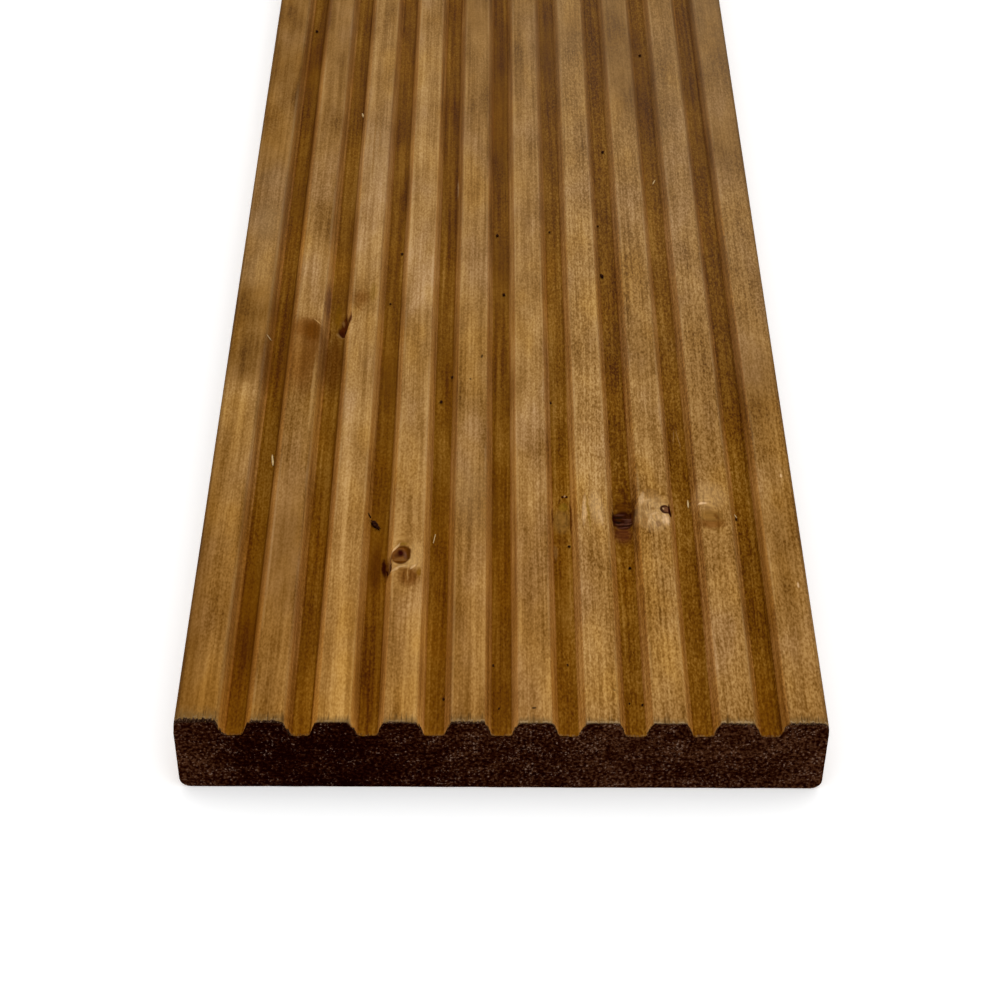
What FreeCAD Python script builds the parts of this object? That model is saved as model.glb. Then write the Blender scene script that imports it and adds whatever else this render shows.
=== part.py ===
# Grooved softwood decking board: one planed plank with drainage grooves along its top face.
# X runs across the board, Y along it and Z up. The origin is the middle of the underside.
import FreeCAD, Part
import math
import os

# Driving dimensions, in millimetres.
board_length = 1800.0
board_width = 145.0
board_thickness = 21.0
ridge_width = 7.6             # flat top of a ridge, from one groove's mouth to the next
groove_mouth = 7.3            # width of a groove at the top face
groove_floor = 4.3            # width of a groove along its flat bottom
groove_depth = 4.0
ridge_shoulder_radius = 0.9   # eased corner between a ridge's top and a groove's wall
groove_corner_radius = 0.6    # round left by the cutter at the foot of a groove's wall
top_arris_radius = 2.0        # eased long edges of the grooved face
underside_arris_radius = 2.5  # eased long edges of the flat face

# Groove layout: as many whole pitches as the width holds, centred on the board.
groove_pitch = ridge_width + groove_mouth
groove_count = int(board_width // groove_pitch)
first_groove_x = -groove_pitch * (groove_count - 1) / 2

# The longest share of a straight run that one rounded corner may take.
corner_share = 0.45


def groove_corners(middle_x):
    """Corners of one groove from its right mouth to its left mouth, each as (x, z, radius)."""
    half_mouth = groove_mouth / 2
    half_floor = groove_floor / 2
    floor_z = board_thickness - groove_depth
    return [
        (middle_x + half_mouth, board_thickness, ridge_shoulder_radius),
        (middle_x + half_floor, floor_z, groove_corner_radius),
        (middle_x - half_floor, floor_z, groove_corner_radius),
        (middle_x - half_mouth, board_thickness, ridge_shoulder_radius),
    ]


def section_corners():
    """Corners of the whole section, anticlockwise from the underside's left edge."""
    half_width = board_width / 2
    corners = [
        (-half_width, 0.0, underside_arris_radius),
        (half_width, 0.0, underside_arris_radius),
        (half_width, board_thickness, top_arris_radius),
    ]
    for index in reversed(range(groove_count)):
        corners += groove_corners(first_groove_x + index * groove_pitch)
    corners.append((-half_width, board_thickness, top_arris_radius))
    return corners


def rounded_corner(before, corner, after, radius):
    """Start, middle and end of the arc that rounds a corner, no longer than its two runs allow."""
    to_before = before - corner
    to_after = after - corner
    half_angle = to_before.getAngle(to_after) / 2
    shorter_run = min(to_before.Length, to_after.Length)
    setback = min(radius / math.tan(half_angle), corner_share * shorter_run)
    fitted_radius = setback * math.tan(half_angle)
    to_before.normalize()
    to_after.normalize()
    bisector = to_before + to_after
    bisector.normalize()
    arc_start = corner + to_before * setback
    arc_end = corner + to_after * setback
    arc_middle = corner + bisector * (fitted_radius / math.sin(half_angle) - fitted_radius)
    return arc_start, arc_middle, arc_end


def section_wire(corners, y):
    """Closed outline in the plane at y: straight runs joined by tangent arcs at the corners."""
    points = [FreeCAD.Vector(x, y, z) for x, z, radius in corners]
    arcs = []
    for index, (x, z, radius) in enumerate(corners):
        after = points[(index + 1) % len(points)]
        arcs.append(rounded_corner(points[index - 1], points[index], after, radius))
    edges = []
    for index, (arc_start, arc_middle, arc_end) in enumerate(arcs):
        next_start = arcs[(index + 1) % len(arcs)][0]
        edges.append(Part.Arc(arc_start, arc_middle, arc_end).toShape())
        edges.append(Part.LineSegment(arc_end, next_start).toShape())
    return Part.Wire(edges)


def decking_board():
    """The plank: its section at the near end, carried along the whole length."""
    section = Part.Face(section_wire(section_corners(), -board_length / 2))
    return section.extrude(FreeCAD.Vector(0, board_length, 0))


board = decking_board()
os.makedirs("parts", exist_ok=True)
board.exportStep("parts/decking_board.step")
print(f"decking_board: valid {board.isValid()}, {board.Volume / 1e6:.4f} litres, {groove_count} grooves")
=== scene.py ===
# Grooved softwood decking board: a planed, brown-treated plank with its knots, stains and sawn ends.
# X runs across the board, Y along it and Z up. The near end of the board is at its lowest Y.
import math

import bpy
import numpy as np
from mathutils import Matrix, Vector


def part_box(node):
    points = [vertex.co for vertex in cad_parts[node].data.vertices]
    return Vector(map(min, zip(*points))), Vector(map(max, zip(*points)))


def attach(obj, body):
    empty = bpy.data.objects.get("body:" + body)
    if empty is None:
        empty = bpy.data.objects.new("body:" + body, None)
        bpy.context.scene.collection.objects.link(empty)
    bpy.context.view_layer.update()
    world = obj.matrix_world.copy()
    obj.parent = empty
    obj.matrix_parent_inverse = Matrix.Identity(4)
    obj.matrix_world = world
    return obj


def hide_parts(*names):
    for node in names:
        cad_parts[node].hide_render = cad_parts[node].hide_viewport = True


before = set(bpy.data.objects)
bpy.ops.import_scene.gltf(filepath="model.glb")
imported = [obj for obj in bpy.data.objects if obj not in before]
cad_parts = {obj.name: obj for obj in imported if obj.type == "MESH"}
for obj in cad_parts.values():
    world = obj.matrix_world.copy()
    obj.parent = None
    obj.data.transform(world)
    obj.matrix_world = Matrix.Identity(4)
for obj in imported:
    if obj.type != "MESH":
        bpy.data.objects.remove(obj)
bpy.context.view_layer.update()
board_low, board_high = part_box("decking_board")

mm = 0.001

# Section of the board, in metres: the sizes that the solid was planed to.
board_width = board_high.x - board_low.x
board_length = board_high.y - board_low.y
board_thickness = board_high.z - board_low.z
half_width = board_width / 2
near_end_y = board_low.y
ridge_width = 7.6 * mm
groove_mouth = 7.3 * mm
groove_floor = 4.3 * mm
groove_depth = 4.0 * mm
groove_count = 9
groove_pitch = ridge_width + groove_mouth
groove_floor_z = board_thickness - groove_depth
shoulder_radius = 0.9 * mm
foot_radius = 0.6 * mm
top_arris_radius = 2.0 * mm
under_arris_radius = 2.5 * mm

# How finely each stretch of the section is divided.
land_steps = 6
shoulder_steps = 3
wall_steps = 4
foot_steps = 2
floor_steps = 4
arris_steps = 5
underside_steps = 24
side_steps = 12

# Stations along the board, as (from, to, spacing) in millimetres from the near end.
# They are closest at the ends and where the knots are, and wide over the plain length.
station_runs = (
    (0.0, 1.5, 0.25),
    (1.5, 45.0, 1.74),
    (45.0, 81.0, 0.9),
    (81.0, 135.0, 3.0),
    (135.0, 165.0, 1.0),
    (165.0, 345.0, 5.0),
    (345.0, 480.0, 27.0),
    (480.0, 560.0, 5.0),
    (560.0, 870.0, 31.0),
    (870.0, 930.0, 5.0),
    (930.0, 1250.0, 32.0),
    (1250.0, 1330.0, 5.0),
    (1330.0, 1610.0, 28.0),
    (1610.0, 1680.0, 5.0),
    (1680.0, 1798.5, 19.75),
    (1798.5, 1800.0, 0.25),
)

# The board's flat map, for baking its finish: blocks as (left, right, low, high) in shares of the map.
# The pictured stretch of the grooved face takes most of it.
flat_map_name = "OFBake"
pictured_length = 345.0
pictured_block = (0.004, 0.616, 0.004, 0.996)
further_block = (0.624, 0.996, 0.004, 0.600)
plain_block = (0.624, 0.996, 0.610, 0.885)
end_blocks = ((0.624, 0.996, 0.893, 0.942), (0.624, 0.996, 0.950, 0.996))

# Camera, worked out from the board's outline: where it stands and how it is turned.
camera_x = -2.638 * mm
camera_y = near_end_y - 339.309 * mm
camera_z = 382.250 * mm
camera_pitch = math.radians(41.0927)
camera_yaw = math.radians(0.3256)
camera_roll = math.radians(-0.4676)
focal_in_pixels = 2240.67
picture_pixels = 1000
sensor_width_mm = 36.0

# Everything below is placed in millimetres: x from the board's middle line, d from its near end.

# Knots that the grain flows round, as (x, d, radius). The first group shows in the picture,
# the others lie in the length beyond it, a whorl of two or three together as the tree grew them.
eye_knot = (-24.0, 55.5, 2.2)
groove_knot = (29.7, 71.8, 2.6)
edge_knot = (40.3, 72.0, 1.6)
bark_hole = (-42.6, 149.3, 1.9)
olive_knot = (14.8, 73.0, 1.2)
healed_knot = (51.0, 69.4, 1.6)
pictured_knots = (eye_knot, groove_knot, edge_knot, bark_hole, olive_knot, healed_knot)
further_knots = (
    (-52.0, 505.0, 3.0),
    (8.0, 513.0, 2.2),
    (37.0, 531.0, 1.8),
    (-9.0, 893.0, 3.4),
    (60.0, 906.0, 2.0),
    (22.0, 1296.0, 2.8),
    (-37.0, 1281.0, 2.0),
    (-66.0, 1650.0, 2.4),
    (45.0, 1632.0, 3.0),
)

# Hollows in the grooved face, as (x, d, half width, half length, depth).
hollows = (
    (-42.6, 149.2, 1.3, 3.3, 1.5),
    (-40.8, 151.3, 0.6, 1.3, 0.5),
    (-27.5, 53.2, 0.8, 3.8, 0.6),
    (29.7, 72.0, 2.6, 3.8, 0.35),
    (40.9, 72.1, 1.2, 1.5, 0.35),
    (-22.2, 47.4, 3.0, 3.2, 0.10),
    (51.0, 69.4, 2.4, 1.9, 0.10),
)

# Sunk rings round the knots' bodies, as (x, d, half width, half length, depth).
sunk_rings = (
    (-24.0, 55.4, 2.15, 2.7, 0.22),
    (40.3, 72.1, 1.5, 1.9, 0.20),
)

# Places beside a groove, in millimetres from its middle line, and how widely its wall's tone and painted
# light and shade spread.
foot_place = 2.3
wall_middle = 2.9
upper_wall = 3.1
wall_spread = 0.5
shoulder_place = 3.5
ridge_start = 3.6
crest_place = 4.0

# How light each ridge and each groove floor is against the board's middle tone, from left to right.
ridge_tones = (-0.08, -0.06, 0.11, 0.08, 0.0, 0.03, 0.08, 0.0, 0.0, -0.04)
groove_tones = (-0.04, 0.02, -0.03, 0.02, 0.0, 0.06, 0.02, 0.04, 0.0)

# How far the treatment sits to the right of each groove's middle line, from left to right.
groove_shifts = (0.60, 0.40, 0.20, 0.0, 0.05, 0.05, 0.10, 0.10, 0.35)

# How light the walls of each groove are against the ridges beside them, as (left wall, right wall): painted
# light and shade, one wall lighter and the other darker as the light falls across the groove, and partly
# the walls' own tone.
wall_light_and_tones = (
    (0.22, -0.16),
    (0.13, -0.01),
    (0.05, 0.04),
    (-0.02, 0.09),
    (0.03, 0.15),
    (0.0, 0.04),
    (0.02, -0.01),
    (0.02, -0.03),
    (0.10, -0.15),
)

# Lines that the planer left along every groove, as (place from the middle line, change of tone).
groove_lines = (
    (-4.5, 0.0),
    (-3.3, 0.0),
    (-2.6, 0.04),
    (-2.0, -0.01),
    (-1.3, 0.08),
    (-0.1, -0.05),
    (0.6, -0.02),
    (1.4, 0.05),
    (2.0, -0.02),
    (2.6, 0.14),
    (3.15, -0.04),
    (3.7, 0.0),
    (4.5, 0.0),
)

# Stretches that took the treatment darker or lighter, as (x, d, half width, half length, tone).
stained_stretches = (
    # On the ridges, from left to right.
    (-71.0, 30.0, 2.2, 50.0, -0.15),
    (-67.0, 8.0, 5.5, 12.0, -0.08),
    (-67.0, 118.0, 5.5, 3.5, 0.09),
    (-66.5, 130.0, 6.5, 9.5, -0.22),
    (-66.5, 145.0, 6.5, 8.0, -0.08),
    (-66.5, 157.0, 6.5, 9.0, -0.28),
    (-67.0, 181.0, 5.5, 7.0, 0.12),
    (-67.0, 196.0, 5.5, 32.0, 0.13),
    (-67.0, 232.0, 5.5, 12.0, -0.10),
    (-67.0, 286.0, 5.5, 16.0, -0.12),
    (-52.0, 36.0, 5.0, 40.0, -0.06),
    (-52.0, 58.0, 5.0, 22.0, -0.13),
    (-52.0, 172.0, 5.0, 20.0, 0.30),
    (-52.0, 208.0, 5.0, 12.0, 0.12),
    (-37.0, 18.0, 5.0, 22.0, 0.08),
    (-37.0, 46.0, 5.0, 12.0, -0.10),
    (-37.0, 108.0, 5.0, 26.0, 0.08),
    (-37.0, 160.0, 5.0, 20.0, -0.12),
    (-37.0, 195.0, 5.0, 26.0, 0.20),
    (-37.0, 268.0, 5.0, 14.0, -0.10),
    (-37.0, 308.0, 5.0, 14.0, 0.12),
    (-22.0, 68.0, 5.0, 9.0, -0.10),
    (-22.0, 90.0, 5.0, 12.0, 0.09),
    (-22.0, 194.0, 5.0, 52.0, 0.15),
    (-8.0, 50.0, 4.5, 12.0, 0.07),
    (-8.0, 76.0, 4.5, 10.0, -0.06),
    (-7.5, 128.0, 5.0, 12.0, -0.08),
    (-7.5, 315.0, 5.0, 14.0, -0.12),
    (8.5, 97.0, 4.5, 8.0, -0.10),
    (7.5, 146.0, 5.0, 18.0, 0.12),
    (7.5, 202.0, 5.0, 20.0, 0.11),
    (22.4, 8.0, 5.0, 12.0, 0.16),
    (22.4, 28.0, 5.0, 12.0, 0.10),
    (22.4, 91.0, 5.0, 11.0, 0.16),
    (22.4, 215.0, 5.0, 26.0, 0.13),
    (22.4, 308.0, 5.0, 16.0, -0.12),
    (37.3, 25.0, 5.0, 28.0, 0.07),
    (37.3, 102.0, 5.0, 38.0, -0.09),
    (37.3, 140.0, 5.0, 16.0, -0.08),
    (37.3, 190.0, 5.0, 14.0, 0.10),
    (37.3, 290.0, 5.0, 36.0, -0.26),
    (52.2, 8.0, 5.0, 12.0, 0.10),
    (52.2, 102.0, 5.0, 72.0, -0.09),
    (67.0, 62.0, 5.5, 42.0, -0.10),
    (67.0, 126.0, 5.5, 24.0, -0.15),
    (67.0, 240.0, 5.5, 22.0, -0.09),
    # In the grooves, from left to right.
    (-59.6, 36.0, 3.0, 20.0, -0.14),
    (-59.6, 98.0, 3.0, 18.0, 0.13),
    (-59.6, 178.0, 3.0, 20.0, 0.16),
    (-59.6, 208.0, 3.0, 14.0, -0.10),
    (-59.6, 288.0, 3.0, 18.0, -0.12),
    (-44.7, 60.0, 3.0, 70.0, 0.09),
    (-44.7, 92.0, 3.0, 13.0, 0.08),
    (-44.7, 170.0, 3.0, 12.0, 0.13),
    (-29.8, 58.0, 3.5, 13.0, -0.12),
    (-29.8, 115.0, 3.0, 66.0, -0.07),
    (-29.8, 128.0, 3.0, 12.0, -0.10),
    (-29.8, 308.0, 3.0, 20.0, 0.20),
    (-14.9, 78.0, 3.0, 20.0, -0.11),
    (-14.9, 150.0, 3.0, 13.0, 0.20),
    (-14.9, 286.0, 3.0, 48.0, 0.18),
    (0.0, 100.0, 3.0, 40.0, 0.12),
    (0.0, 176.0, 3.0, 22.0, -0.18),
    (0.0, 264.0, 3.0, 50.0, -0.15),
    (14.9, 40.0, 3.0, 20.0, -0.17),
    (14.9, 160.0, 3.0, 22.0, 0.08),
    (14.9, 300.0, 3.0, 34.0, -0.20),
    (29.8, 4.0, 3.0, 12.0, -0.12),
    (29.8, 94.0, 3.0, 11.0, 0.12),
    (44.7, 74.0, 3.0, 30.0, 0.19),
    (44.7, 146.0, 3.0, 24.0, 0.14),
    (44.7, 284.0, 3.0, 46.0, -0.15),
    (59.6, 4.0, 3.0, 14.0, -0.14),
    (59.6, 70.0, 3.0, 14.0, 0.09),
    (59.6, 265.0, 3.0, 60.0, -0.09),
)

# Patches of the ridges that have gone grey, as (x, d, half width, half length, share).
greyed_patches = (
    (-67.0, 172.0, 5.0, 9.0, 0.50),
    (-67.0, 196.0, 5.0, 12.0, 0.70),
    (-67.0, 218.0, 5.0, 8.0, 0.45),
    (-7.5, 76.0, 4.5, 13.0, 0.45),
    (-37.0, 232.0, 4.5, 20.0, 0.30),
)

# How far the dark torn edge of an end reaches onto each ridge, from left to right, and onto the left and
# the right wall of a groove. On the walls it is partly painted shade in the corner at the end, deeper on
# the left walls.
torn_ridges = (1.15, 0.65, 0.25, 0.35, 0.55, 0.25, 0.25, 0.22, 0.38, 0.50)
torn_walls_and_shade = (0.90, 0.45)

# Colours of knots, bark and torn wood, in linear light.
bark_black = (0.010, 0.003, 0.001)
hole_brown = (0.072, 0.013, 0.0010)
knot_heart = (0.021, 0.001, 0.0002)
knot_stripe = (0.100, 0.036, 0.020)
knot_ring = (0.078, 0.021, 0.0002)
knot_brown = (0.148, 0.050, 0.008)
smear_brown = (0.150, 0.050, 0.005)
stain_brown = (0.106, 0.031, 0.0008)
rust_brown = (0.078, 0.019, 0.0004)
maroon = (0.080, 0.016, 0.005)
olive_brown = (0.172, 0.070, 0.003)
olive_gold = (0.205, 0.104, 0.007)
olive_tan = (0.205, 0.100, 0.020)
curl_brown = (0.245, 0.118, 0.030)
eye_brown = (0.185, 0.074, 0.015)
shaded_brown = (0.205, 0.094, 0.017)
pale_rim = (0.420, 0.236, 0.076)
pale_curl = (0.450, 0.268, 0.105)
pale_lip = (0.530, 0.320, 0.140)
bare_wood = (0.620, 0.390, 0.195)
dull_pink = (0.145, 0.058, 0.024)

# Colours of the treated wood, in linear light, from its darkest tone to its palest.
ridge_colors = (
    (0.00, (0.085, 0.031, 0.003)),
    (0.20, (0.165, 0.072, 0.011)),
    (0.50, (0.272, 0.136, 0.035)),
    (0.80, (0.390, 0.217, 0.070)),
    (1.00, (0.480, 0.285, 0.110)),
)
groove_colors = (
    (0.00, (0.052, 0.011, 0.0004)),
    (0.20, (0.093, 0.027, 0.0010)),
    (0.50, (0.161, 0.060, 0.0020)),
    (0.80, (0.245, 0.108, 0.0105)),
    (1.00, (0.330, 0.165, 0.0280)),
)

# Greyed wood with the painted sheen of the far length, a painted sheen on the shoulders and a painted
# highlight along the crests, and the grey, pale rim, hairs and torn edge at the ends.
greyed_wood_and_sheen = (0.215, 0.140, 0.072)
painted_shoulder_sheen = (0.245, 0.132, 0.060)
painted_crest_highlight = (0.430, 0.255, 0.100)
end_grey = (0.125, 0.076, 0.026)
end_rim = (0.360, 0.235, 0.110)
end_hair = (0.050, 0.022, 0.005)
soaked_colors = (
    (0.44, bark_black),
    (0.60, (0.036, 0.016, 0.008)),
    (0.74, (0.150, 0.090, 0.052)),
)

# Changes of the treated wood's colour, as what its red, green and blue are multiplied by.
wall_factors = (1.05, 0.91, 0.62)
foot_factors = (0.90, 0.82, 0.76)
golden_factors = (1.03, 0.99, 0.78)
pinkish_factors = (0.98, 1.00, 1.22)
edge_factors = (0.55, 0.52, 0.46)
warm_factors = (1.02, 0.955, 0.80)

# A knot's colours from its heart outwards, at shares of twice its radius.
knot_colors = (
    (0.00, knot_heart),
    (0.18, knot_brown),
    (0.38, knot_brown),
    (0.47, knot_ring),
    (0.56, pale_rim),
    (1.00, pale_rim),
)

# Colours of the sawn ends from wet to dry, of their torn grain, and of the fibres, bark and splinters.
end_colors = (
    (0.05, (0.0045, 0.0002, 0.0001)),
    (0.45, (0.0150, 0.0028, 0.0007)),
    (1.00, (0.0620, 0.0230, 0.0090)),
)
torn_grain = (0.180, 0.118, 0.086)
fibre_colors = (
    (0.45, (0.014, 0.005, 0.003)),
    (0.60, (0.070, 0.034, 0.016)),
    (1.00, (0.260, 0.160, 0.075)),
)
bark_colors = ((0.35, (0.010, 0.002, 0.001)), (0.70, (0.042, 0.012, 0.004)))
splinter_colors = ((0.3, (0.480, 0.320, 0.125)), (0.7, (0.740, 0.550, 0.280)))

# Marks on the grooved face, painted in this order, as (x, d, half width, half length, lean in degrees,
# softness of the edge, colour, strength). A lean turns the mark's far end to the left.
eye_marks = (
    # The eye knot: brown wood below it, pale lips round it, then its dark ring, its body, a painted
    # highlight beside its heart, and its heart.
    (-21.8, 47.5, 2.5, 3.3, 0, 0.45, smear_brown, 0.80),
    (-23.0, 47.2, 0.22, 2.4, 0, 0.50, rust_brown, 0.45),
    (-22.1, 48.2, 0.15, 2.0, 0, 0.50, pale_rim, 0.45),
    (-21.0, 47.6, 0.80, 2.2, 0, 0.60, rust_brown, 0.42),
    (-19.5, 49.1, 0.55, 1.5, 0, 0.40, olive_brown, 0.85),
    (-20.3, 55.0, 1.7, 4.6, 0, 0.40, pale_rim, 0.65),
    (-22.7, 53.0, 2.9, 2.6, -11, 0.20, pale_rim, 0.80),
    (-20.9, 50.8, 1.00, 0.28, 45, 0.40, pale_lip, 0.85),
    (-23.4, 50.9, 1.20, 0.25, 12, 0.40, pale_lip, 0.60),
    (-25.0, 50.1, 1.40, 0.40, 43, 0.40, pale_lip, 0.65),
    (-23.4, 58.8, 1.00, 0.40, 0, 0.50, olive_gold, 0.60),
    (-23.85, 55.0, 2.35, 3.4, -11, 0.12, knot_ring, 1.00),
    (-24.45, 55.5, 1.65, 2.1, -11, 0.25, knot_brown, 0.95),
    (-24.1, 53.4, 1.60, 0.55, 0, 0.40, eye_brown, 0.90),
    # A painted highlight in dull pink, right of the heart.
    (-23.0, 54.9, 0.45, 1.1, 6, 0.60, dull_pink, 0.90),
    (-24.9, 54.8, 0.70, 0.8, 0, 0.60, knot_heart, 0.38),
    (-24.0, 55.5, 0.85, 1.15, 0, 0.55, knot_heart, 1.00),
    (-25.3, 57.5, 1.70, 0.28, 59, 0.40, pale_lip, 0.90),
    # The cracks in the groove's wall beside the eye, with a pale splinter between them.
    (-30.2, 54.0, 1.6, 8.0, 0, 0.50, rust_brown, 0.70),
    (-27.4, 53.4, 1.0, 3.8, 8, 0.50, rust_brown, 0.85),
    (-28.1, 54.7, 0.50, 2.7, 2, 0.45, knot_heart, 0.92),
    (-26.5, 53.2, 0.25, 2.6, -4, 0.40, dull_pink, 0.85),
    (-27.2, 52.6, 0.22, 1.5, 16, 0.35, knot_heart, 0.92),
    (-26.2, 50.8, 0.26, 1.6, -5, 0.35, knot_heart, 0.90),
)
whorl_marks = (
    # The knot that fills a groove's floor, striped across, with the rusty wood round it.
    (29.7, 66.9, 2.3, 3.4, 0, 0.50, maroon, 0.80),
    (30.0, 77.0, 2.4, 2.0, 0, 0.50, rust_brown, 0.70),
    (30.1, 72.2, 2.9, 3.4, 0, 0.16, knot_heart, 0.90),
    (29.2, 74.3, 1.2, 0.30, 6, 0.40, knot_stripe, 0.75),
    (31.0, 72.7, 1.3, 0.25, -8, 0.40, knot_stripe, 0.80),
    (29.6, 71.0, 1.6, 0.28, 5, 0.40, knot_stripe, 0.70),
    (31.1, 70.9, 1.0, 0.30, 12, 0.40, knot_stripe, 0.80),
    (29.8, 69.6, 1.7, 0.25, 6, 0.40, knot_stripe, 0.75),
    (31.2, 72.0, 0.9, 0.5, 0, 0.50, knot_stripe, 0.60),
    (28.6, 73.3, 1.4, 0.40, 4, 0.40, bark_black, 0.92),
    (28.6, 71.6, 1.0, 0.45, 0, 0.40, bark_black, 0.92),
    (30.4, 70.2, 1.7, 0.22, 8, 0.40, bark_black, 0.75),
    (32.4, 73.0, 0.35, 5.5, 0, 0.40, rust_brown, 0.85),
    (32.7, 61.0, 0.22, 9.0, 0, 0.50, rust_brown, 0.60),
    (27.6, 72.5, 0.30, 3.0, 0, 0.40, knot_heart, 0.85),
    # The pale curled wood on the ridge beside it.
    (37.0, 70.6, 3.8, 6.2, 0, 0.35, pale_curl, 0.72),
    (36.4, 78.2, 2.2, 1.2, 0, 0.40, curl_brown, 0.60),
    (34.5, 75.6, 0.60, 2.3, -8, 0.45, pale_lip, 0.90),
    (35.4, 75.0, 1.20, 0.35, 22, 0.45, pale_lip, 0.45),
    (37.2, 76.4, 1.2, 0.8, 0, 0.50, curl_brown, 0.60),
    (38.6, 74.8, 0.9, 0.7, 0, 0.50, curl_brown, 0.50),
    (34.8, 72.5, 0.75, 1.4, 0, 0.45, curl_brown, 0.60),
    (34.4, 70.0, 0.70, 0.9, 0, 0.50, curl_brown, 0.65),
    (40.0, 68.2, 0.90, 2.0, 0, 0.50, bare_wood, 0.45),
    (37.1, 72.0, 0.6, 0.5, 0, 0.50, curl_brown, 0.85),
    (37.3, 70.2, 1.1, 0.35, 25, 0.40, pale_lip, 0.85),
    (34.9, 67.5, 0.8, 2.2, 0, 0.40, curl_brown, 0.85),
    (38.3, 68.9, 0.45, 0.9, 0, 0.50, pale_lip, 0.75),
    (36.2, 68.2, 0.30, 1.6, -12, 0.40, pale_lip, 0.85),
    (37.2, 67.0, 0.30, 1.5, 20, 0.40, pale_lip, 0.70),
    (35.95, 72.6, 0.16, 1.5, 0, 0.40, smear_brown, 0.60),
    (36.4, 65.0, 0.18, 1.6, 8, 0.50, smear_brown, 0.50),
    (38.2, 66.5, 0.8, 1.2, 0, 0.25, dull_pink, 0.45),
    (39.5, 68.0, 0.24, 1.6, 0, 0.40, bare_wood, 0.80),
    (40.1, 68.5, 0.26, 1.9, 4, 0.40, bare_wood, 0.90),
    (40.6, 67.6, 0.20, 1.7, 0, 0.40, bare_wood, 0.80),
    # The small knot on the ridge's edge, a dark bracket round a pink heart; the bracket's dark right side,
    # on the groove's wall, is partly painted shade.
    (40.2, 72.0, 1.45, 1.65, 0, 0.12, knot_heart, 0.95),
    (40.4, 72.0, 0.95, 1.10, 0, 0.20, dull_pink, 0.90),
    (39.6, 72.2, 0.22, 0.4, 0, 0.40, pale_lip, 0.70),
    # Partly painted shade on the groove's wall, partly the knot's dark bracket.
    (41.25, 72.2, 0.40, 2.1, 0, 0.30, knot_heart, 0.97),
    # The olive patch in a groove, between two dark lines, and two pips of bark beyond it.
    (14.8, 71.5, 2.1, 4.2, 0, 0.40, olive_tan, 0.65),
    (14.8, 64.3, 1.3, 1.4, 0, 0.50, stain_brown, 0.60),
    (13.2, 60.3, 0.5, 2.6, 0, 0.40, curl_brown, 0.50),
    (15.4, 76.8, 1.1, 1.6, 0, 0.25, olive_gold, 0.80),
    (17.1, 72.8, 0.24, 6.5, 0, 0.40, rust_brown, 0.90),
    (12.6, 73.0, 0.25, 3.2, 0, 0.40, rust_brown, 0.75),
    (14.3, 79.0, 0.22, 1.2, -20, 0.50, rust_brown, 0.70),
    (15.3, 80.7, 0.38, 0.42, 0, 0.30, knot_heart, 0.97),
    (16.25, 80.7, 0.36, 0.42, 0, 0.30, knot_heart, 0.97),
    (15.78, 81.0, 0.18, 0.30, 0, 0.40, pale_lip, 0.80),
    (23.3, 72.5, 1.6, 5.5, 4, 0.50, pale_curl, 0.70),
    (20.3, 71.5, 0.50, 4.8, -3, 0.55, pale_lip, 0.80),
    (21.3, 70.5, 0.30, 6.5, 3, 0.55, olive_gold, 0.60),
    (24.2, 68.6, 0.35, 2.4, 10, 0.55, pale_lip, 0.65),
    (21.9, 81.5, 0.20, 4.5, 0, 0.50, curl_brown, 0.65),
    # The healed knot on a ridge, with a torn pale fibre above it.
    (51.2, 66.6, 3.2, 1.7, 0, 0.45, smear_brown, 0.80),
    (51.3, 76.8, 3.6, 4.6, 0, 0.50, pale_curl, 0.40),
    (51.2, 69.4, 2.8, 1.9, -8, 0.40, shaded_brown, 0.95),
    (52.5, 69.2, 0.50, 1.2, 20, 0.55, stain_brown, 0.65),
    (49.3, 74.1, 1.10, 0.42, 0, 0.40, bare_wood, 1.00),
)
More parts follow.
